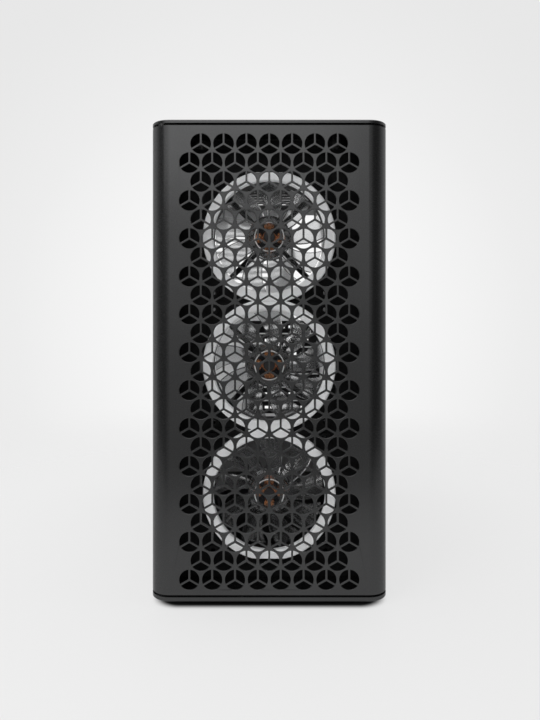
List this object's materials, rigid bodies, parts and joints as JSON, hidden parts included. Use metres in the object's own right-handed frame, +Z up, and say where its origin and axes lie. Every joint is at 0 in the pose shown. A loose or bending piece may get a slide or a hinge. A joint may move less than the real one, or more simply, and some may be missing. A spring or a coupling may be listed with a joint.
{
  "type": "atx pc case",
  "caption": "Upright tower case for a full-size desktop computer: perforated tri-spoke front over ring-lit intake fans, glass left side, lift-off lid and pull-off panels",
  "frame": {"origin": "centre of the footprint, on the floor under the feet", "axes": "+Z up along the height, the grille front faces -Y, the glass side faces -X"},
  "size_m": [0.216, 0.41, 0.44],
  "materials": {
    "dark_metal": "satin fine-grained charcoal coat",
    "coated_aluminium": "satin fine-grained charcoal coat",
    "zinc_sheet": "bare galvanised sheet",
    "chassis_steel": "satin black powder coat",
    "side_glass": "clear lightly tinted tempered glass",
    "black_plastic": "matt moulded black",
    "milky_ring": "milky translucent white",
    "frosted_blade": "frosted translucent grey-white",
    "clear_cap": "clear smoke",
    "copper_wire": "enamelled copper",
    "bright_steel": "bright turned",
    "brass_post": "plain brass",
    "foot_rubber": "matt",
    "circuit_board": "dark solder mask"
  },
  "bodies": {
    "chassis": {"base_plate": "coated_aluminium", "foot_front_left": "foot_rubber", "foot_front_right": "foot_rubber", "foot_rear_left": "foot_rubber", "foot_rear_right": "foot_rubber", "front_frame": "chassis_steel", "rear_panel": "zinc_sheet", "slot_shelf": "zinc_sheet", "top_plate": "chassis_steel", "psu_shroud": "chassis_steel", "motherboard_tray": "zinc_sheet", "motherboard_standoffs": "brass_post", "slot_cover_1": "chassis_steel", "slot_cover_2": "chassis_steel", "slot_cover_3": "chassis_steel", "slot_cover_4": "chassis_steel", "slot_cover_5": "chassis_steel", "slot_cover_6": "chassis_steel", "slot_cover_7": "chassis_steel", "slot_screws": "bright_steel", "fan_1_frame": "black_plastic", "fan_1_ring": "milky_ring", "fan_1_windings": "copper_wire", "fan_2_frame": "black_plastic", "fan_2_ring": "milky_ring", "fan_2_windings": "copper_wire", "fan_3_frame": "black_plastic", "fan_3_ring": "milky_ring", "fan_3_windings": "copper_wire", "fan_screws": "bright_steel", "panel_sockets": "black_plastic", "io_board": "circuit_board", "io_bezel": "black_plastic", "usb_ports": "bright_steel", "audio_jack": "black_plastic", "drive_cage": "chassis_steel", "drive_tray_1": "black_plastic", "drive_tray_2": "black_plastic"},
    "front_panel": {"front_panel": "coated_aluminium", "front_panel_brackets": "dark_metal", "front_panel_studs": "bright_steel"},
    "top_lid": {"top_lid": "coated_aluminium", "top_lid_studs": "bright_steel"},
    "left_panel": {"left_glass": "side_glass", "left_glass_strips": "chassis_steel", "left_glass_studs": "bright_steel"},
    "right_panel": {"right_side_panel": "dark_metal", "right_panel_studs": "bright_steel"},
    "power_button": {"power_button": "dark_metal"},
    "reset_button": {"reset_button": "dark_metal"},
    "dust_filter": {"psu_filter": "black_plastic"},
    "rotor_1": {"fan_1_rotor": "frosted_blade", "fan_1_hub_cap": "clear_cap", "fan_1_shaft": "bright_steel"},
    "rotor_2": {"fan_2_rotor": "frosted_blade", "fan_2_hub_cap": "clear_cap", "fan_2_shaft": "bright_steel"},
    "rotor_3": {"fan_3_rotor": "frosted_blade", "fan_3_hub_cap": "clear_cap", "fan_3_shaft": "bright_steel"}
  },
  "joints": [
    {"name": "front_panel_pull", "type": "slide", "parent": "chassis", "child": "front_panel", "axis": [0, -1, 0], "range_m": [0, 0.12]},
    {"name": "top_lid_lift", "type": "slide", "parent": "chassis", "child": "top_lid", "axis": [0, 0, 1], "range_m": [0, 0.1]},
    {"name": "left_panel_pull", "type": "slide", "parent": "chassis", "child": "left_panel", "axis": [-1, 0, 0], "range_m": [0, 0.15]},
    {"name": "right_panel_pull", "type": "slide", "parent": "chassis", "child": "right_panel", "axis": [1, 0, 0], "range_m": [0, 0.15]},
    {"name": "filter_pull", "type": "slide", "parent": "chassis", "child": "dust_filter", "axis": [0, 1, 0], "range_m": [0, 0.19]},
    {"name": "power_press", "type": "slide", "parent": "chassis", "child": "power_button", "axis": [0, 0, -1], "range_m": [0, 0.0015], "stiffness_N_per_m": 400, "springref_m": -0.001},
    {"name": "reset_press", "type": "slide", "parent": "chassis", "child": "reset_button", "axis": [0, 0, -1], "range_m": [0, 0.0015], "stiffness_N_per_m": 400, "springref_m": -0.001},
    {"name": "fan_1_spin", "type": "hinge", "parent": "chassis", "child": "rotor_1", "pos_m": [0, -0.1712, 0.096], "axis": [0, -1, 0], "continuous": true},
    {"name": "fan_2_spin", "type": "hinge", "parent": "chassis", "child": "rotor_2", "pos_m": [0, -0.1712, 0.2165], "axis": [0, -1, 0], "continuous": true},
    {"name": "fan_3_spin", "type": "hinge", "parent": "chassis", "child": "rotor_3", "pos_m": [0, -0.1712, 0.337], "axis": [0, -1, 0], "continuous": true}
  ]
}
